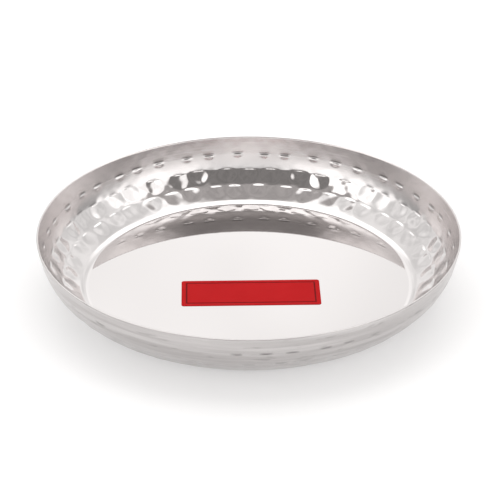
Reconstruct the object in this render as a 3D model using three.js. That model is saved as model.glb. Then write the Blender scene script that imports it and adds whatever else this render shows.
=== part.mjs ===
// A round snack plate pressed from one sheet of stainless steel, its wall worked with three rows of hammer
// marks, and a plain adhesive label on its floor. Millimetres, +Z up, the underside of the floor at z = 0.
import * as THREE from "three";

const TURN = 2 * Math.PI;
const degrees = THREE.MathUtils.degToRad;

// The sheet and the overall size
const RIM_DIAMETER = 180;
const DEPTH = 25; // from the inner floor up to the rim
const SHEET = 0.7;

// The wall in section, as slopes from the horizontal: a creased bend, three bands and a steep lip
const BEND_WIDTH = 2.6;
const BEND_SLOPES = [degrees(11), degrees(25)];
const LOW_SLOPES = [degrees(30), degrees(36)];
const MIDDLE_SLOPES = [degrees(40), degrees(54)];
const HIGH_SLOPES = [degrees(57), degrees(72)];
const MIDDLE_BAND = 0.92; // widths of the middle and high bands, as shares of the low one's
const HIGH_BAND = 0.81;
const LIP_WIDTH = 8;
const LIP_SLOPES = [degrees(74), degrees(80)];

// The marks of the low and middle rows: domes pressed into the plate, each cut off at its top by a ledge
const DOME_HALF_WIDTH = 4.8;
const DOME_HALF_LENGTH = 4.5;
const DOME_DROP = 2.6; // from the ledge down to the crest of the dome
const DOME_SOFTNESS = 1.5; // power that eases the foot of a dome or boss into the wall
const LOW_DOME_HEIGHT = 0.24;
const LOW_LEDGE = 1.7;
const MIDDLE_DOME_HEIGHT = 0.46;
const MIDDLE_LEDGE = 0.8;

// The low row's ledges have a raised lip along their edge
const LEDGE_LIP_HEIGHT = 0.1;
const LEDGE_LIP_HALF_WIDTH = 2.7;
const LEDGE_LIP_LENGTH = 1.8;

// The marks of the high row: small oblong bosses
const BOSS_HALF_WIDTH = 2.6;
const BOSS_HALF_LENGTH = 1.3;
const BOSS_DROP = 0.8;
const BOSS_HEIGHT = 0.34;
const BOSS_LEDGE = 1;

// Every mark has a shallow hollow over its ledge
const HOLLOW_DEPTH = 0.15;
const HOLLOW_HALF_WIDTH = 3;
const HOLLOW_LENGTH = 2.4;

// The hand work: how the marks wander in place and in strength, in waves round the plate
const MARKS_PER_ROW = 46;
const SPACING_WANDER = degrees(0.8);
const SPACING_WAVES = 17;
const QUICK_SPACING_WANDER = degrees(0.4);
const QUICK_SPACING_WAVES = 39;
const HEIGHT_WANDER = 0.25;
const HEIGHT_WAVES = 14;
const STRENGTH_WANDER = 0.25; // share of the full height
const STRENGTH_WAVES = 27;
const ROW_PHASE = 1.7; // between the waves of one row and the next, in radians

// The label
const LABEL_LENGTH = 59.2;
const LABEL_WIDTH = 21.1;
const LABEL_THICKNESS = 0.2;
const LABEL_CORNER_RADIUS = 1.2;
const LABEL_CENTRE = new THREE.Vector2(0.9, -10.7);
const LABEL_TURN = degrees(1.4);

// One stretch of the wall's section, whose slope turns evenly from one end to the other.
class Stretch {
  constructor(length, [from, to]) {
    this.length = length;
    this.from = from;
    this.to = to;
  }
  slope(distance) {
    return this.from + ((this.to - this.from) * distance) / this.length;
  }
  run(distance) {
    const bend = (this.to - this.from) / this.length;
    return (Math.sin(this.slope(distance)) - Math.sin(this.from)) / bend;
  }
  rise(distance) {
    const bend = (this.to - this.from) / this.length;
    return (Math.cos(this.from) - Math.cos(this.slope(distance))) / bend;
  }
}

const bend = new Stretch(BEND_WIDTH, BEND_SLOPES);
const lip = new Stretch(LIP_WIDTH, LIP_SLOPES);
const bandShapes = [
  new Stretch(1, LOW_SLOPES),
  new Stretch(MIDDLE_BAND, MIDDLE_SLOPES),
  new Stretch(HIGH_BAND, HIGH_SLOPES),
];
const risePerWidth = bandShapes.reduce((sum, shape) => sum + shape.rise(shape.length), 0);
const lowWidth = (DEPTH - bend.rise(BEND_WIDTH) - lip.rise(LIP_WIDTH)) / risePerWidth;
const bands = bandShapes.map((shape) => new Stretch(lowWidth * shape.length, [shape.from, shape.to]));
const stretches = [bend, ...bands, lip];
const wallWidth = stretches.reduce((sum, stretch) => sum + stretch.length, 0);
const wallRun = stretches.reduce((sum, stretch) => sum + stretch.run(stretch.length), 0);
const rimOverhang = SHEET * Math.sin(LIP_SLOPES[1]); // the outer skin stands out past the inner at the rim
const floorRadius = RIM_DIAMETER / 2 - rimOverhang - wallRun;

// The undisturbed inner wall at a distance up it from the edge of the floor.
function wallAt(distance) {
  let left = distance;
  let radius = floorRadius;
  let height = SHEET;
  for (const stretch of stretches) {
    const here = Math.min(left, stretch.length);
    radius += stretch.run(here);
    height += stretch.rise(here);
    left -= here;
    if (left <= 0) return { radius, height, slope: stretch.slope(here) };
  }
  return { radius, height, slope: LIP_SLOPES[1] };
}

const floorEdge = { radius: floorRadius, height: SHEET, slope: 0 };

// The rows of marks, each along the top of its band, the middle one half a step round from the others.
const dome = { halfWidth: DOME_HALF_WIDTH, halfLength: DOME_HALF_LENGTH, drop: DOME_DROP };
const boss = { halfWidth: BOSS_HALF_WIDTH, halfLength: BOSS_HALF_LENGTH, drop: BOSS_DROP };
const rows = [
  { ...dome, height: LOW_DOME_HEIGHT, ledge: LOW_LEDGE, lipHeight: LEDGE_LIP_HEIGHT, stagger: 0 },
  { ...dome, height: MIDDLE_DOME_HEIGHT, ledge: MIDDLE_LEDGE, lipHeight: 0, stagger: 0.5 },
  { ...boss, height: BOSS_HEIGHT, ledge: BOSS_LEDGE, lipHeight: 0, stagger: 0 },
].map((row, i) => {
  const line = bands.slice(0, i + 1).reduce((sum, band) => sum + band.length, BEND_WIDTH);
  return { ...row, line, radius: wallAt(line).radius, phase: ROW_PHASE * i };
});

const pitch = TURN / MARKS_PER_ROW;
const wave = (size, waves, even, row) => size * Math.sin(waves * even + row.phase);

// The hand-spaced angle of what lies at an even angle round a row, and its shift up the wall.
function handAngle(even, row) {
  const slow = wave(SPACING_WANDER, SPACING_WAVES, even, row);
  return even + slow + wave(QUICK_SPACING_WANDER, QUICK_SPACING_WAVES, even, row);
}
const handShift = (even, row) => wave(HEIGHT_WANDER, HEIGHT_WAVES, even, row);

// A bulge that falls from one at its middle to zero at its half width.
const bulge = (share) => Math.max(1 - share ** 2, 0);
const clamp = (value) => THREE.MathUtils.clamp(value, 0, 1);

// How far one mark pushes the wall into the plate, at a distance across it and above its ledge.
function markHeight(row, across, above) {
  const up = (above + row.drop) / row.halfLength;
  const round = row.height * bulge(Math.hypot(across / row.halfWidth, up)) ** DOME_SOFTNESS;
  const edge = bulge(across / LEDGE_LIP_HALF_WIDTH) * Math.exp(Math.min(above, 0) / LEDGE_LIP_LENGTH);
  const hollow = bulge(across / HOLLOW_HALF_WIDTH) * clamp(1 - Math.max(above, 0) / HOLLOW_LENGTH) ** 2;
  const below = THREE.MathUtils.smoothstep(-above, -row.ledge / 2, row.ledge / 2);
  return (round + row.lipHeight * edge) * below - HOLLOW_DEPTH * hollow * (1 - below);
}

// How far all the marks near a point of the wall push it into the plate.
function worked(angle, distance) {
  let height = 0;
  for (const row of rows) {
    const nearest = Math.round(angle / pitch - row.stagger);
    for (const mark of [nearest - 1, nearest, nearest + 1]) {
      const even = pitch * (mark + row.stagger);
      const across = (angle - handAngle(even, row)) * row.radius;
      const above = distance - row.line - handShift(even, row);
      const strength = 1 + wave(STRENGTH_WANDER, STRENGTH_WAVES, even, row);
      height += strength * markHeight(row, across, above);
    }
  }
  return height;
}

// Two columns of points lie on the crest of each mark and two on its flanks.
const COLUMNS_PER_MARK = 4;
const COLUMNS = MARKS_PER_ROW * COLUMNS_PER_MARK;
const evenAngle = (column) => ((column + 0.5) / COLUMNS_PER_MARK) * pitch;
const round = (point) => Array.from({ length: COLUMNS }, (_, column) => point(evenAngle(column)));

// A point on the inner skin, or on the outer skin behind it, that the marks push into the plate.
function skinPoint({ radius, height, slope }, angle, out) {
  const reach = radius + out * Math.sin(slope);
  return new THREE.Vector3(
    reach * Math.cos(angle),
    reach * Math.sin(angle),
    height - out * Math.cos(slope),
  );
}

// A plain ring, for the edge of the floor, its bend and the lip.
const plainRing = (place, thickness) => round((even) => skinPoint(place, even, thickness));

// A ring that follows the marks of a row, at a distance up from their ledges.
function markedRing(row, offset, thickness) {
  return round((even) => {
    const angle = handAngle(even, row);
    const distance = row.line + offset + handShift(even, row);
    return skinPoint(wallAt(distance), angle, thickness - worked(angle, distance));
  });
}

// The rings of one skin, from the edge of the floor up to the rim.
function skin(thickness) {
  const [low, middle, high] = rows;
  const tail = -DOME_DROP - DOME_HALF_LENGTH / 2;
  const domeOffsets = (row) => [tail, -row.drop, -row.ledge / 2, row.ledge / 2];
  const bossOffsets = [-BOSS_DROP - BOSS_HALF_LENGTH, -BOSS_DROP, BOSS_HALF_LENGTH - BOSS_DROP];
  return [
    plainRing(floorEdge, thickness),
    plainRing(wallAt(BEND_WIDTH), thickness),
    ...domeOffsets(low).map((offset) => markedRing(low, offset, thickness)),
    ...domeOffsets(middle).map((offset) => markedRing(middle, offset, thickness)),
    ...bossOffsets.map((offset) => markedRing(high, offset, thickness)),
    plainRing(wallAt(wallWidth - LIP_WIDTH / 2), thickness),
    plainRing(wallAt(wallWidth), thickness),
  ];
}

// A closed surface through a list of rings, with a flat disc at its first and last ring.
function closedSurface(rings) {
  const points = rings.flat();
  const index = [];
  rings.slice(1).forEach((_, j) => {
    for (let i = 0; i < COLUMNS; i++) {
      const next = (i + 1) % COLUMNS;
      const a = j * COLUMNS + i;
      const b = j * COLUMNS + next;
      index.push(a, b + COLUMNS, b);
      index.push(a, a + COLUMNS, b + COLUMNS);
    }
  });
  const addDisc = (first, height, flip) => {
    const centre = points.push(new THREE.Vector3(0, 0, height)) - 1;
    for (let i = 0; i < COLUMNS; i++) {
      const a = first + i;
      const b = first + ((i + 1) % COLUMNS);
      index.push(centre, flip ? b : a, flip ? a : b);
    }
  };
  addDisc(0, rings[0][0].z, false);
  addDisc((rings.length - 1) * COLUMNS, rings.at(-1)[0].z, true);
  const geometry = new THREE.BufferGeometry().setFromPoints(points);
  geometry.setIndex(index);
  geometry.computeVertexNormals();
  return geometry;
}

// The label's outline, a rectangle with rounded corners.
function labelOutline() {
  const x = LABEL_LENGTH / 2;
  const y = LABEL_WIDTH / 2;
  const r = LABEL_CORNER_RADIUS;
  const outline = new THREE.Shape();
  outline.absarc(x - r, y - r, r, 0, TURN / 4);
  outline.absarc(r - x, y - r, r, TURN / 4, TURN / 2);
  outline.absarc(r - x, r - y, r, TURN / 2, 0.75 * TURN);
  outline.absarc(x - r, r - y, r, 0.75 * TURN, TURN);
  return outline;
}

const steel = new THREE.MeshStandardMaterial({ color: 0xc9c5c2, roughness: 0.2, metalness: 1 });
const redFilm = new THREE.MeshStandardMaterial({ color: 0xbd2430, roughness: 0.4, metalness: 0 });

const plate = new THREE.Mesh(closedSurface([...skin(0), ...skin(SHEET).reverse()]), steel);
plate.name = "plate";

const labelGeometry = new THREE.ExtrudeGeometry(labelOutline(), {
  depth: LABEL_THICKNESS,
  bevelEnabled: false,
  curveSegments: 5,
});
labelGeometry.rotateZ(LABEL_TURN);
labelGeometry.translate(LABEL_CENTRE.x, LABEL_CENTRE.y, SHEET);
const label = new THREE.Mesh(labelGeometry, redFilm);
label.name = "label";

const snackPlate = new THREE.Group();
snackPlate.add(plate, label);
export default snackPlate;
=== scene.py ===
import math

import bpy
import numpy as np
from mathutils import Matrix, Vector


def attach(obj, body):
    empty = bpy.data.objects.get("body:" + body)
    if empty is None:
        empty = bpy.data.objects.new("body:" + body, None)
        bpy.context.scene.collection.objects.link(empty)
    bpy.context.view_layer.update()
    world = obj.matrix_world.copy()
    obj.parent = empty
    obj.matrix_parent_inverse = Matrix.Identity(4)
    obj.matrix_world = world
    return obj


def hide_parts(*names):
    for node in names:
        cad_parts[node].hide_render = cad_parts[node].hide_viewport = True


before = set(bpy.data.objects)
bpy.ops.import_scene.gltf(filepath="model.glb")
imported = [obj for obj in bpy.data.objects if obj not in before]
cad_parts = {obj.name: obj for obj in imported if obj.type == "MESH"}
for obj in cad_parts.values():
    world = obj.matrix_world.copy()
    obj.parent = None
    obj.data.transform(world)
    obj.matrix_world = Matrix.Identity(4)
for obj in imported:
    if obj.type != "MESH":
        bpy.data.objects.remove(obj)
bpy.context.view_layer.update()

MM = 0.001
TURN = 2 * math.pi

# The plate's section, in millimetres and degrees, as in the CAD part
RIM_DIAMETER = 180
DEPTH = 25
SHEET = 0.7
BEND_WIDTH = 2.6
BEND_SLOPES = (11, 25)
BAND_SLOPES = ((30, 36), (40, 54), (57, 72))
BAND_SHARES = (1, 0.92, 0.81)
LIP_WIDTH = 8
LIP_SLOPES = (74, 80)
RIM_ROUNDING = 0.12  # how far the trimmed edge of the rim bulges

# Hammer marks, each value from the lowest row to the highest: a dome that bulges into the plate, cut off
# by a ledge at its top, with a raised lip just under the ledge and a hollow above it
MARKS_PER_ROW = 46
PITCH = TURN / MARKS_PER_ROW
ROW_SHIFT = (0.0, 0.5, 0.0)
DOME_HEIGHTS = (0.24, 0.46, 0.34)
DOME_HALF_WIDTHS = (4.8, 4.8, 2.6)
DOME_HALF_LENGTHS = (4.5, 4.5, 1.3)
DOME_DROPS = (2.6, 2.6, 0.8)
DOME_SOFTNESS = 1.5
LEDGES = (1.7, 0.8, 1.0)
LIP_HEIGHTS = (0.1, 0.0, 0.0)
LIP_HALF_WIDTH = 2.7
LIP_LENGTH = 1.8
HOLLOW_DEPTH = 0.15
HOLLOW_HALF_WIDTH = 3.0
HOLLOW_LENGTH = 2.4
# How the marks wander in place and in strength: size and waves round the plate
SPACING_WANDER = ((0.8, 17), (0.4, 39))
HEIGHT_WANDER = (0.25, 14)
STRENGTH_WANDER = (0.25, 27)
ROW_PHASE = 1.7
# How far above and below its ledge each mark is left bright
BURNISH_REACH = 1.0
# Painted shade in the hollow over each ledge, by row, which also darkens the outer skin at the same places
LEDGE_DARKENING = (0.0, 0.2, 0.5)
LEDGE_DARKENING_HALF_WIDTH = 2.5
LEDGE_DARKENING_RISE = 0.45
LEDGE_DARKENING_REACH = 0.6

# Slow unevenness between the marks: waves round the plate, waves up the wall and height of each
UNEVEN = (
    (37, 0.9, 0.022),
    (53, -0.7, 0.020),
    (71, 1.3, 0.016),
    (89, -1.1, 0.014),
    (107, 0.5, 0.010),
)
# It fades in from the floor's bend upwards, and out to a least share towards the highest row
UNEVEN_START = 2
UNEVEN_FADE = 8
UNEVEN_LEAST = 0.35

# The label: a thin film on the floor, its border a fine sunk line
LABEL_LENGTH = 59.2
LABEL_WIDTH = 21.1
LABEL_THICKNESS = 0.2
LABEL_CORNER = 1.2
LABEL_CENTRE = (0.9, -10.7)
LABEL_TURN = 1.4
LABEL_ROUNDING = 0.10
LABEL_SOFT_EDGE = 0.5
LABEL_BORDER = 2.2
LABEL_LINE = 0.5
LABEL_GROOVE = 0.07

# Fineness of the shown mesh: columns round the plate, and rings packed close at the marks' ledges
COLUMNS = 16 * MARKS_PER_ROW
INNER_RINGS = 84
OUTER_RINGS = 38
FLOOR_RINGS = 8
UNDER_RINGS = 3
SMALLEST_RING = 0.002
RING_PACKING = 3.0
RING_REACH = 1.2
# Points at which the section and the packing of its rings are worked out
STRETCH_SAMPLES = 200
PACKING_SAMPLES = 2000
# Lines of the label's grid: fine over the border, wide between
LABEL_FINE_WIDTH = 3.2
LABEL_FINE_LINES = 32
LABEL_WIDE_LINES = 12

# The steel's finish. Pairs of tints or roughnesses are the two ends that a noise mixes.
POLISH_TINT = (0.665, 0.645, 0.640, 1)
SATIN_TINTS = ((0.66, 0.628, 0.621, 1), (0.81, 0.775, 0.768, 1))
OUTSIDE_TINTS = ((0.52, 0.498, 0.493, 1), (0.64, 0.618, 0.612, 1))
SMEAR_TINT = (0.30, 0.275, 0.27, 1)
SMUDGE_TINT = (0.12, 0.11, 0.105, 1)
# painted shade over the marks' ledges inside, and a patchy darkening over them outside
LEDGE_DARKENING_TINT = (0.07, 0.06, 0.057, 1)
FLOOR_ROUGHNESS = (0.015, 0.035)
WALL_ROUGHNESS = (0.06, 0.10)
WALL_POLISH = (0.0, 5.0)  # distances up the wall between which the floor's polish turns into the wall's
SATIN_ROUGHNESS = (0.20, 0.31)
SATIN_REACH = (-1.0, 5.0)  # where the satin begins and is full, up from the middle row
BURNISH_STRENGTH = 0.85
SMEAR_STRENGTH = 0.22
SMUDGE_STRENGTH = 0.22
# strength of the painted shade over the ledges on the inside
INSIDE_PAINTED_SHADE = 0.85
BRUSH_BUMP = 0.12
BRUSH_BUMP_DISTANCE = 0.0002
# Noises: scale, detail and roughness
STEEL_CLOUD = (60.0, 4.0, 0.6)
SMEAR_NOISE = (26.0, 3.0, 0.55)
OUTSIDE_PATCH_NOISE = (28.0, 2.0, 0.5)
# Noises drawn out round the plate: scale across it, scale up the wall, detail and roughness
BRUSH_LINES = (30.0, 4.0, 6.0, 0.7)
STREAKS = (20.0, 0.5, 3.0, 0.5)
SMUDGE_NOISE = (90.0, 0.45, 2.0, 0.5)
# Ranges of those noises that are spread out from nothing to full
STREAK_RANGE = (0.3, 0.7)
SMEAR_RANGE = (0.40, 0.62)
SMUDGE_RANGE = (0.62, 0.72)
OUTSIDE_PATCH_RANGE = (0.47, 0.62)

# The film's finish
FILM_COLOURS = ((0.46, 0.005, 0.007, 1), (0.54, 0.008, 0.011, 1))
BORDER_COLOUR = (0.05, 0.001, 0.002, 1)
FILM_ROUGHNESS = (0.32, 0.46)
FILM_SPECULAR = 0.03
FILM_GRAIN = (900.0, 3.0, 0.6)
FILM_CLOUD = (90.0, 3.0, 0.5)
FILM_BUMP = 0.08
FILM_BUMP_DISTANCE = 0.0001

# The table, just below the plate's underside
TABLE_TOP = -0.00005
TABLE_HALF = 3
TABLE_COLOUR = (0.73, 0.73, 0.73, 1)
TABLE_ROUGHNESS = 0.8
TABLE_GLOW_COLOUR = (1, 1, 1, 1)
TABLE_GLOW = 0.33

# The surroundings, by direction: sideways, along (towards the far side) and height are shares of a unit
# vector, and overhead is the angle in degrees from the far side over the top to the camera's side. A pair
# of directions gives where a part begins and where it is full. A pair of strengths or half widths gives the
# values at two such ends, or at the ends of a noise.
WALL_STRENGTH = 1.04
FRONT_STRENGTH = 1.0
FRONT_ALONG = (-0.3, -0.6)
FRONT_HEIGHT = (0.34, 0.12)
BEHIND_OVERHEAD = (30, 48)
BEHIND_STRENGTHS = (1.20, 1.9)
BEHIND_ALONG = (0.0, 0.2)
BEHIND_SIDEWAYS = (0.50, 0.38)
BOX_STRENGTH = 1.75
BOX_ALONG = (0.25, -0.05)
BOX_HEIGHT = (0.15, 0.45)
BOX_SIDEWAYS = (0.3, 0.5)
GAP_STRENGTH = 0.48
GAP_SIDEWAYS = (0.84, 0.93)
GAP_HEIGHT = (0.36, 0.20)
CEILING_START = (84, 89)
CEILING_END = (142, 134)
CEILING_NARROWS = (98, 114)
CEILING_HALF_WIDTHS = (0.66, 0.55)
CEILING_EDGE = (0.05, -0.05)
CEILING_DARKENS = (100, 114)
CEILING_STRENGTHS = (0.52, 0.28)
CLUTTER_NOISE = (3.5, 3.0, 0.55)
CLUTTER_STRENGTHS = (0.80, 1.18)
MOTTLE_NOISE = (7.0, 3.0, 0.6)
MOTTLE_STRENGTHS = (0.86, 1.14)
NOISE_RANGE = (0.3, 0.7)
WALL_COLOUR = (1, 0.99, 0.985, 1)
CEILING_COLOUR = (1, 0.955, 0.94, 1)

# The camera, placed as in the photograph
ELEVATION = math.radians(29.18)
DISTANCE = 0.9
TARGET = Vector((0.00051, 0, 0.01563))
SENSOR_WIDTH = 36
LENS = 151.6


def stretch_rise(length, start, end):
    """Height gained along a stretch whose slope turns evenly from start to end, in radians."""
    return length * (math.cos(start) - math.cos(end)) / (end - start)


class Wall:
    """The undisturbed inner wall: radius, height and slope at a distance up from the floor's edge."""

    def __init__(self):
        slopes = [tuple(math.radians(a) for a in pair) for pair in BAND_SLOPES]
        bend = (BEND_WIDTH, *(math.radians(a) for a in BEND_SLOPES))
        lip = (LIP_WIDTH, *(math.radians(a) for a in LIP_SLOPES))
        left = DEPTH - stretch_rise(*bend) - stretch_rise(*lip)
        low = left / sum(stretch_rise(share, *pair) for share, pair in zip(BAND_SHARES, slopes))
        bands = [(low * share, *pair) for share, pair in zip(BAND_SHARES, slopes)]
        distances, angles = [], []
        start = 0.0
        for length, a0, a1 in [bend, *bands, lip]:
            share = np.linspace(0, 1, STRETCH_SAMPLES)
            distances.append(start + share * length)
            angles.append(a0 + (a1 - a0) * share)
            start += length
        self.width = start
        self.distance = np.concatenate(distances)
        self.slope = np.concatenate(angles)
        steps = np.diff(self.distance)
        middle = (self.slope[1:] + self.slope[:-1]) / 2
        run = np.concatenate([[0], np.cumsum(steps * np.cos(middle))])
        rise = np.concatenate([[0], np.cumsum(steps * np.sin(middle))])
        overhang = SHEET * math.sin(lip[2])
        self.radius = run + RIM_DIAMETER / 2 - overhang - run[-1]
        self.height = rise + SHEET
        self.rows = BEND_WIDTH + np.cumsum([length for length, _, _ in bands])

    def at(self, distance):
        return tuple(
            np.interp(distance, self.distance, values)
            for values in (self.radius, self.height, self.slope)
        )


wall = Wall()


def wave(wander, even, row):
    size, waves = wander
    return size * np.sin(waves * even + ROW_PHASE * row)


def marks(angle, distance):
    """How far the marks push the wall inwards, burnish it and darken it over the ledges (painted shade on
    the inside), at each angle and distance.
    """
    inward = np.zeros(np.broadcast(angle, distance).shape)
    burnish = np.zeros_like(inward)
    ledge_darkening = np.zeros_like(inward)
    fade = np.clip((distance - UNEVEN_START) / UNEVEN_FADE, 0, 1)
    fade = fade * np.clip((wall.rows[2] - distance) / UNEVEN_FADE, UNEVEN_LEAST, 1)
    for number, (waves, climb, height) in enumerate(UNEVEN):
        inward += fade * height * np.sin(waves * angle + climb * distance + number)
    for row, line in enumerate(wall.rows):
        radius = float(wall.at(line)[0])
        nearest = np.round(angle / PITCH - ROW_SHIFT[row])
        for k in (nearest - 1, nearest, nearest + 1):
            even = PITCH * (k + ROW_SHIFT[row])
            gap = angle - even - sum(np.radians(wave(w, even, row)) for w in SPACING_WANDER)
            across = (np.mod(gap + math.pi, TURN) - math.pi) * radius
            strength = 1 + wave(STRENGTH_WANDER, even, row)
            above = distance - line - wave(HEIGHT_WANDER, even, row)
            up = (above + DOME_DROPS[row]) / DOME_HALF_LENGTHS[row]
            dome = 1 - (across / DOME_HALF_WIDTHS[row]) ** 2 - up**2
            dome = DOME_HEIGHTS[row] * np.clip(dome, 0, None) ** DOME_SOFTNESS
            lip = LIP_HEIGHTS[row] * np.clip(1 - (across / LIP_HALF_WIDTH) ** 2, 0, None)
            lip = lip * np.exp(-np.clip(-above, 0, None) / LIP_LENGTH)
            hollow = HOLLOW_DEPTH * np.clip(1 - (across / HOLLOW_HALF_WIDTH) ** 2, 0, None)
            hollow = hollow * np.clip(1 - np.clip(above, 0, None) / HOLLOW_LENGTH, 0, 1) ** 2
            cut = np.clip(0.5 - above / LEDGES[row], 0, 1)
            cut = cut * cut * (3 - 2 * cut)
            inward += strength * ((dome + lip) * cut - hollow * (1 - cut))
            near = np.clip(1 - (across / HOLLOW_HALF_WIDTH) ** 4, 0, 1)
            near = near * np.clip(1 - np.abs(above) / BURNISH_REACH, 0, 1)
            burnish = np.maximum(burnish, near)
            # painted shade in the hollow just over the ledge
            darkening_spot = np.clip(1 - (across / LEDGE_DARKENING_HALF_WIDTH) ** 2, 0, 1) * LEDGE_DARKENING[row]
            darkening_spot = darkening_spot * np.clip(1 - np.abs(above - LEDGE_DARKENING_RISE) / LEDGE_DARKENING_REACH, 0, 1)
            ledge_darkening = np.maximum(ledge_darkening, np.sqrt(darkening_spot))
    return inward, burnish, ledge_darkening


def ring_distances(count):
    """Distances up the wall of a number of rings, packed close at the ledges of the marks."""
    even = np.linspace(0, wall.width, PACKING_SAMPLES)
    close = sum(np.exp(-(((even - line) / RING_REACH) ** 2)) for line in wall.rows)
    packing = 1 + RING_PACKING * close
    filled = np.cumsum(packing) - packing[0]
    return np.interp(np.linspace(0, filled[-1], count), filled, even)


def skin(distances, thickness):
    """Rings of points on the inner skin, or on the outer skin behind it.

    Each point's distance up the wall, burnish and darkening over the ledges (painted shade on the inner
    skin) come with it.
    """
    radius, height, slope = (v[:, None] for v in wall.at(distances))
    slope = np.where(distances[:, None] == 0, 0, slope)  # the floor's edge is creased
    angle = np.linspace(0, TURN, COLUMNS, endpoint=False)[None, :]
    inward, burnish, ledge_darkening = marks(angle, distances[:, None])
    out = thickness - inward
    reach = radius + out * np.sin(slope)
    points = np.stack(
        [reach * np.cos(angle), reach * np.sin(angle), height - out * np.cos(slope)], -1
    )
    return points, np.broadcast_to(distances[:, None], burnish.shape), burnish, ledge_darkening


def grid_mesh(name, points):
    """A closed mesh through rings of points, with a flat cap on both end rings."""
    rings, columns, _ = points.shape
    index = np.arange(rings * columns).reshape(rings, columns)
    turned = np.roll(index, -1, 1)
    quads = np.stack([index[:-1], index[1:], turned[1:], turned[:-1]], -1)
    corners = np.concatenate([quads.reshape(-1), index[0], index[-1, ::-1]])
    sizes = np.full(quads.size // 4 + 2, 4)
    sizes[-2:] = columns
    mesh = bpy.data.meshes.new(name)
    mesh.vertices.add(rings * columns)
    mesh.vertices.foreach_set("co", (points * MM).reshape(-1))
    mesh.loops.add(corners.size)
    mesh.loops.foreach_set("vertex_index", corners.astype(np.int32))
    mesh.polygons.add(sizes.size)
    mesh.polygons.foreach_set("loop_start", (np.cumsum(sizes) - sizes).astype(np.int32))
    mesh.polygons.foreach_set("loop_total", sizes.astype(np.int32))
    mesh.update(calc_edges=True)
    mesh.polygons.foreach_set("use_smooth", np.ones(sizes.size, bool))
    return mesh


def add_attribute(mesh, name, values):
    mesh.attributes.new(name, "FLOAT", "POINT").data.foreach_set("value", values.reshape(-1))


def add_object(name, mesh):
    obj = bpy.data.objects.new(name, mesh)
    bpy.context.scene.collection.objects.link(obj)
    return obj


def flat_rings(outline, count):
    """Rings of points from close to the plate's axis to inside a flat outline, closest at the outline."""
    share = 1 - np.linspace(1 - SMALLEST_RING, 0, count, endpoint=False)[:, None, None] ** 2
    return outline * np.concatenate([share, share, np.ones_like(share)], -1)


def rim_edge(inside, outside):
    """The ring of points along the rim, rounded over between the two skins."""
    edge = (inside + outside) / 2
    slope = math.radians(LIP_SLOPES[1])
    outwards = edge[..., :2] / np.linalg.norm(edge[..., :2], axis=-1, keepdims=True)
    upwards = np.full((1, COLUMNS, 1), math.sin(slope))
    return edge + RIM_ROUNDING * np.concatenate([outwards * math.cos(slope), upwards], -1)


def everywhere(rings, value):
    return np.full((len(rings), COLUMNS), value)


def plate_mesh():
    """The sheet: its floor, inner skin, rim, outer skin and underside, as one closed mesh."""
    inner, inner_up, inner_burnish, inner_painted_shade = skin(ring_distances(INNER_RINGS), 0.0)
    outer, outer_up, _, outer_darkening = skin(ring_distances(OUTER_RINGS)[::-1], SHEET)
    edge = rim_edge(inner[-1:], outer[:1])
    top = flat_rings(inner[:1], FLOOR_RINGS)
    under = flat_rings(outer[-1:], UNDER_RINGS)[::-1]
    mesh = grid_mesh("plate_sheet", np.concatenate([top, inner, edge, outer, under]))
    # each attribute's values on the floor, inner skin, rim, outer skin and underside
    attributes = {
        "up_wall": (-1.0, inner_up, wall.width, outer_up, -1.0),
        "burnish": (0.0, inner_burnish, 1.0, 0.0, 0.0),
        "outside": (0.0, 0.0, 0.5, 1.0, 1.0),
        # painted shade over the inner skin's ledges, darkening over the outer skin's
        "ledge_darkening": (0.0, inner_painted_shade, 0.0, outer_darkening, 0.0),
    }
    for name, values in attributes.items():
        parts = [
            everywhere(rings, value) if np.isscalar(value) else value
            for rings, value in zip((top, inner, edge, outer, under), values)
        ]
        add_attribute(mesh, name, np.concatenate(parts))
    return mesh


def fine_edged(half):
    """Places from -half to half, close together over the label's border at both ends."""
    inner = half - LABEL_FINE_WIDTH
    fine = np.linspace(inner, half, LABEL_FINE_LINES)
    wide = np.linspace(-inner, inner, LABEL_WIDE_LINES)[1:-1]
    return np.concatenate([-fine[::-1], wide, fine])


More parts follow.
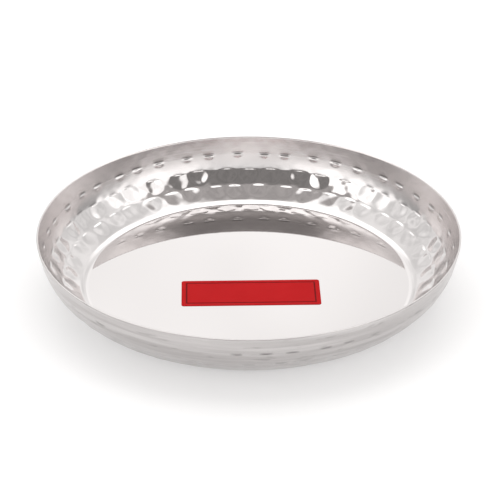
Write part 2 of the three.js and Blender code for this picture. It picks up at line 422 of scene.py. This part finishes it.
def label_mesh():
    """The film: a rounded oblong with a soft edge and a sunk border line, flat underneath."""
    along = fine_edged(LABEL_LENGTH / 2)[None, :] / (LABEL_LENGTH / 2)
    across = fine_edged(LABEL_WIDTH / 2)[:, None]
    into_corner = np.clip(np.abs(across) - (LABEL_WIDTH / 2 - LABEL_CORNER), 0, LABEL_CORNER)
    half = LABEL_LENGTH / 2 - LABEL_CORNER + np.sqrt(LABEL_CORNER**2 - into_corner**2)
    x = along * half
    y = np.broadcast_to(across, x.shape)
    inset = np.minimum(half - np.abs(x), LABEL_WIDTH / 2 - np.abs(y))
    groove = np.clip(1 - np.abs(inset - LABEL_BORDER) / LABEL_LINE, 0, 1)
    top = LABEL_THICKNESS - LABEL_ROUNDING * np.clip(1 - inset / LABEL_SOFT_EDGE, 0, 1) ** 2
    top = top - LABEL_GROOVE * groove
    turn = math.radians(LABEL_TURN)
    px = x * math.cos(turn) - y * math.sin(turn) + LABEL_CENTRE[0]
    py = x * math.sin(turn) + y * math.cos(turn) + LABEL_CENTRE[1]
    upper = np.stack([px, py, SHEET + top], -1)
    lower = np.stack([px, py, np.full_like(px, SHEET)], -1)
    count = px.size
    index = np.arange(count).reshape(px.shape)
    face = np.stack([index[:-1, :-1], index[:-1, 1:], index[1:, 1:], index[1:, :-1]], -1)
    face = face.reshape(-1, 4)
    loop = np.concatenate([index[0, :-1], index[:-1, -1], index[-1, :0:-1], index[:0:-1, 0]])
    after = np.roll(loop, -1)
    sides = np.stack([loop + count, after + count, after, loop], -1)
    faces = np.concatenate([face, face[:, ::-1] + count, sides])
    points = np.concatenate([upper.reshape(-1, 3), lower.reshape(-1, 3)]) * MM
    mesh = bpy.data.meshes.new("label_film")
    mesh.from_pydata(points.tolist(), [], faces.tolist())
    mesh.polygons.foreach_set("use_smooth", np.arange(len(faces)) < len(face))
    add_attribute(mesh, "groove", np.concatenate([groove.reshape(-1), np.zeros(count)]))
    return mesh


class Nodes:
    """Shorthand for building a node tree."""

    def __init__(self, tree):
        self.tree = tree

    def add(self, kind, **settings):
        node = self.tree.nodes.new(kind)
        for key, value in settings.items():
            setattr(node, key, value)
        return node

    def link(self, value, socket):
        if isinstance(value, bpy.types.NodeSocket):
            self.tree.links.new(value, socket)
        else:
            socket.default_value = value

    def math(self, operation, *values):
        node = self.add("ShaderNodeMath", operation=operation)
        for value, socket in zip(values, node.inputs):
            self.link(value, socket)
        return node.outputs[0]

    def times(self, a, b):
        return self.math("MULTIPLY", a, b)

    def ease(self, value, low, high, start=0.0, end=1.0):
        node = self.add("ShaderNodeMapRange", interpolation_type="SMOOTHSTEP")
        self.link(value, node.inputs["Value"])
        self.link(low, node.inputs["From Min"])
        self.link(high, node.inputs["From Max"])
        self.link(start, node.inputs["To Min"])
        self.link(end, node.inputs["To Max"])
        return node.outputs["Result"]

    def mix(self, share, a, b):
        node = self.add("ShaderNodeMix", data_type="FLOAT")
        self.link(share, node.inputs[0])
        self.link(a, node.inputs[2])
        self.link(b, node.inputs[3])
        return node.outputs[0]

    def mix_colour(self, share, a, b):
        node = self.add("ShaderNodeMix", data_type="RGBA")
        self.link(share, node.inputs[0])
        self.link(a, node.inputs[6])
        self.link(b, node.inputs[7])
        return node.outputs[2]

    def attribute(self, name):
        return self.add("ShaderNodeAttribute", attribute_name=name).outputs["Fac"]

    def noise(self, vector, scale, detail, roughness):
        node = self.add("ShaderNodeTexNoise")
        self.link(vector, node.inputs["Vector"])
        node.inputs["Scale"].default_value = scale
        node.inputs["Detail"].default_value = detail
        node.inputs["Roughness"].default_value = roughness
        return node.outputs["Fac"]

    def drawn_noise(self, place, up, across, climb, detail, roughness):
        """A noise with one scale across the plate and another up its wall."""
        split = self.add("ShaderNodeSeparateXYZ")
        self.link(place, split.inputs[0])
        drawn = self.add("ShaderNodeCombineXYZ")
        self.link(self.times(split.outputs["X"], across), drawn.inputs["X"])
        self.link(self.times(split.outputs["Y"], across), drawn.inputs["Y"])
        self.link(self.times(up, climb), drawn.inputs["Z"])
        return self.noise(drawn.outputs[0], 1.0, detail, roughness)


def new_material(name):
    material = bpy.data.materials.new(name)
    material.use_nodes = True
    return material, Nodes(material.node_tree), material.node_tree.nodes["Principled BSDF"]


def steel_material():
    """Stainless steel: polished floor and lower wall, satin lip and outside, burnished marks."""
    material, n, shader = new_material("stainless_steel")
    place = n.add("ShaderNodeTexCoord").outputs["Object"]
    up = n.attribute("up_wall")
    outside = n.attribute("outside")
    # how satin each place is: the inside above the middle row, and all of the outside
    satin = n.ease(up, *(wall.rows[1] + reach for reach in SATIN_REACH))
    satin = n.math("MAXIMUM", satin, outside)
    burnished = n.times(n.attribute("burnish"), BURNISH_STRENGTH)
    satin = n.times(satin, n.math("SUBTRACT", 1.0, burnished))
    # brush lines run round the plate
    lines = n.drawn_noise(place, up, *BRUSH_LINES)
    cloud = n.noise(place, *STEEL_CLOUD)
    polish = n.mix(
        n.ease(up, *WALL_POLISH), n.mix(cloud, *FLOOR_ROUGHNESS), n.mix(cloud, *WALL_ROUGHNESS)
    )
    rough = n.mix(satin, polish, n.mix(lines, *SATIN_ROUGHNESS))
    streaks = n.ease(n.drawn_noise(place, up, *STREAKS), *STREAK_RANGE)
    satin_tint = n.mix_colour(lines, *SATIN_TINTS)
    satin_tint = n.mix_colour(outside, satin_tint, n.mix_colour(streaks, *OUTSIDE_TINTS))
    tint = n.mix_colour(satin, POLISH_TINT, satin_tint)
    # smears on the lip
    smear = n.times(n.ease(n.noise(place, *SMEAR_NOISE), *SMEAR_RANGE), satin)
    smear = n.times(smear, n.math("SUBTRACT", 1.0, outside))
    tint = n.mix_colour(n.times(smear, SMEAR_STRENGTH), tint, SMEAR_TINT)
    # smudges outside
    smudge = n.ease(n.drawn_noise(place, up, *SMUDGE_NOISE), *SMUDGE_RANGE)
    smudge = n.times(smudge, outside)
    tint = n.mix_colour(n.times(smudge, SMUDGE_STRENGTH), tint, SMUDGE_TINT)
    # painted shade over the ledges inside, a patchy darkening over them outside
    patches = n.ease(n.noise(place, *OUTSIDE_PATCH_NOISE), *OUTSIDE_PATCH_RANGE)
    ledge_darkening_share = n.times(n.attribute("ledge_darkening"), n.mix(outside, INSIDE_PAINTED_SHADE, patches))
    tint = n.mix_colour(ledge_darkening_share, tint, LEDGE_DARKENING_TINT)
    bump = n.add("ShaderNodeBump")
    n.link(lines, bump.inputs["Height"])
    n.link(n.times(satin, BRUSH_BUMP), bump.inputs["Strength"])
    bump.inputs["Distance"].default_value = BRUSH_BUMP_DISTANCE
    n.link(tint, shader.inputs["Base Color"])
    n.link(rough, shader.inputs["Roughness"])
    n.link(bump.outputs["Normal"], shader.inputs["Normal"])
    shader.inputs["Metallic"].default_value = 1.0
    return material


def label_material():
    """Red film with a fine grain, a soft sheen and a dark border line."""
    material, n, shader = new_material("red_film")
    place = n.add("ShaderNodeTexCoord").outputs["Object"]
    grain = n.noise(place, *FILM_GRAIN)
    colour = n.mix_colour(n.noise(place, *FILM_CLOUD), *FILM_COLOURS)
    colour = n.mix_colour(n.attribute("groove"), colour, BORDER_COLOUR)
    bump = n.add("ShaderNodeBump")
    n.link(grain, bump.inputs["Height"])
    bump.inputs["Strength"].default_value = FILM_BUMP
    bump.inputs["Distance"].default_value = FILM_BUMP_DISTANCE
    n.link(colour, shader.inputs["Base Color"])
    n.link(n.mix(grain, *FILM_ROUGHNESS), shader.inputs["Roughness"])
    n.link(bump.outputs["Normal"], shader.inputs["Normal"])
    shader.inputs["Specular IOR Level"].default_value = FILM_SPECULAR
    return material


def table_material():
    material, _, shader = new_material("pale_table")
    shader.inputs["Base Color"].default_value = TABLE_COLOUR
    shader.inputs["Roughness"].default_value = TABLE_ROUGHNESS
    shader.inputs["Emission Color"].default_value = TABLE_GLOW_COLOUR
    shader.inputs["Emission Strength"].default_value = TABLE_GLOW
    return material


def studio_world():
    """White surroundings, two soft boxes, dark gaps at the sides and a dark ceiling."""
    world = bpy.data.worlds.new("studio")
    world.use_nodes = True
    n = Nodes(world.node_tree)
    background = world.node_tree.nodes["Background"]
    direction = n.add("ShaderNodeTexCoord").outputs["Generated"]
    split = n.add("ShaderNodeSeparateXYZ")
    n.link(direction, split.inputs[0])
    side, along, height = split.outputs
    overhead = n.times(n.math("ARCTAN2", height, along), math.degrees(1))
    sideways = n.math("ABSOLUTE", side)
    # the white surroundings, a little dimmer low down in front and brighter behind the plate
    front = n.times(n.ease(along, *FRONT_ALONG), n.ease(height, *FRONT_HEIGHT))
    walls = n.mix(front, WALL_STRENGTH, FRONT_STRENGTH)
    behind = n.times(n.ease(along, *BEHIND_ALONG), n.ease(sideways, *BEHIND_SIDEWAYS))
    walls = n.mix(behind, walls, n.ease(overhead, *BEHIND_OVERHEAD, *BEHIND_STRENGTHS))
    # two large soft boxes, left and right in front of the plate
    box = n.times(n.ease(along, *BOX_ALONG), n.ease(height, *BOX_HEIGHT))
    box = n.times(box, n.ease(sideways, *BOX_SIDEWAYS))
    walls = n.mix(box, walls, BOX_STRENGTH)
    clutter = n.noise(direction, *CLUTTER_NOISE)
    walls = n.times(walls, n.ease(clutter, *NOISE_RANGE, *CLUTTER_STRENGTHS))
    # dark gaps low down on the left and right
    gap = n.times(n.ease(sideways, *GAP_SIDEWAYS), n.ease(height, *GAP_HEIGHT))
    walls = n.mix(gap, walls, GAP_STRENGTH)
    # the dark ceiling, from straight overhead down towards the camera
    ceiling = n.times(n.ease(overhead, *CEILING_START), n.ease(overhead, *CEILING_END))
    half_width = n.ease(overhead, *CEILING_NARROWS, *CEILING_HALF_WIDTHS)
    beyond = n.math("SUBTRACT", sideways, half_width)
    ceiling = n.times(ceiling, n.ease(beyond, *CEILING_EDGE))
    tone = n.ease(overhead, *CEILING_DARKENS, *CEILING_STRENGTHS)
    mottle = n.noise(direction, *MOTTLE_NOISE)
    tone = n.times(tone, n.ease(mottle, *NOISE_RANGE, *MOTTLE_STRENGTHS))
    n.link(n.mix(ceiling, walls, tone), background.inputs["Strength"])
    n.link(n.mix_colour(ceiling, WALL_COLOUR, CEILING_COLOUR), background.inputs["Color"])
    return world


plate = add_object("plate_sheet", plate_mesh())
plate.data.materials.append(steel_material())
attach(plate, "root")
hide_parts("plate")

label = add_object("label_film", label_mesh())
label.data.materials.append(label_material())
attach(label, "root")
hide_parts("label")

table_corners = [
    (x * TABLE_HALF, y * TABLE_HALF, TABLE_TOP) for x, y in ((-1, -1), (1, -1), (1, 1), (-1, 1))
]
table_mesh = bpy.data.meshes.new("table")
table_mesh.from_pydata(table_corners, [], [(0, 1, 2, 3)])
table = add_object("table", table_mesh)
table.data.materials.append(table_material())

bpy.context.scene.world = studio_world()

camera = add_object("camera", bpy.data.cameras.new("camera"))
camera.location = TARGET + DISTANCE * Vector((0, -math.cos(ELEVATION), math.sin(ELEVATION)))
camera.rotation_euler = (math.pi / 2 - ELEVATION, 0, 0)
camera.data.sensor_width = SENSOR_WIDTH
camera.data.lens = LENS
bpy.context.scene.camera = camera
bpy.context.scene.view_settings.view_transform = "Standard"
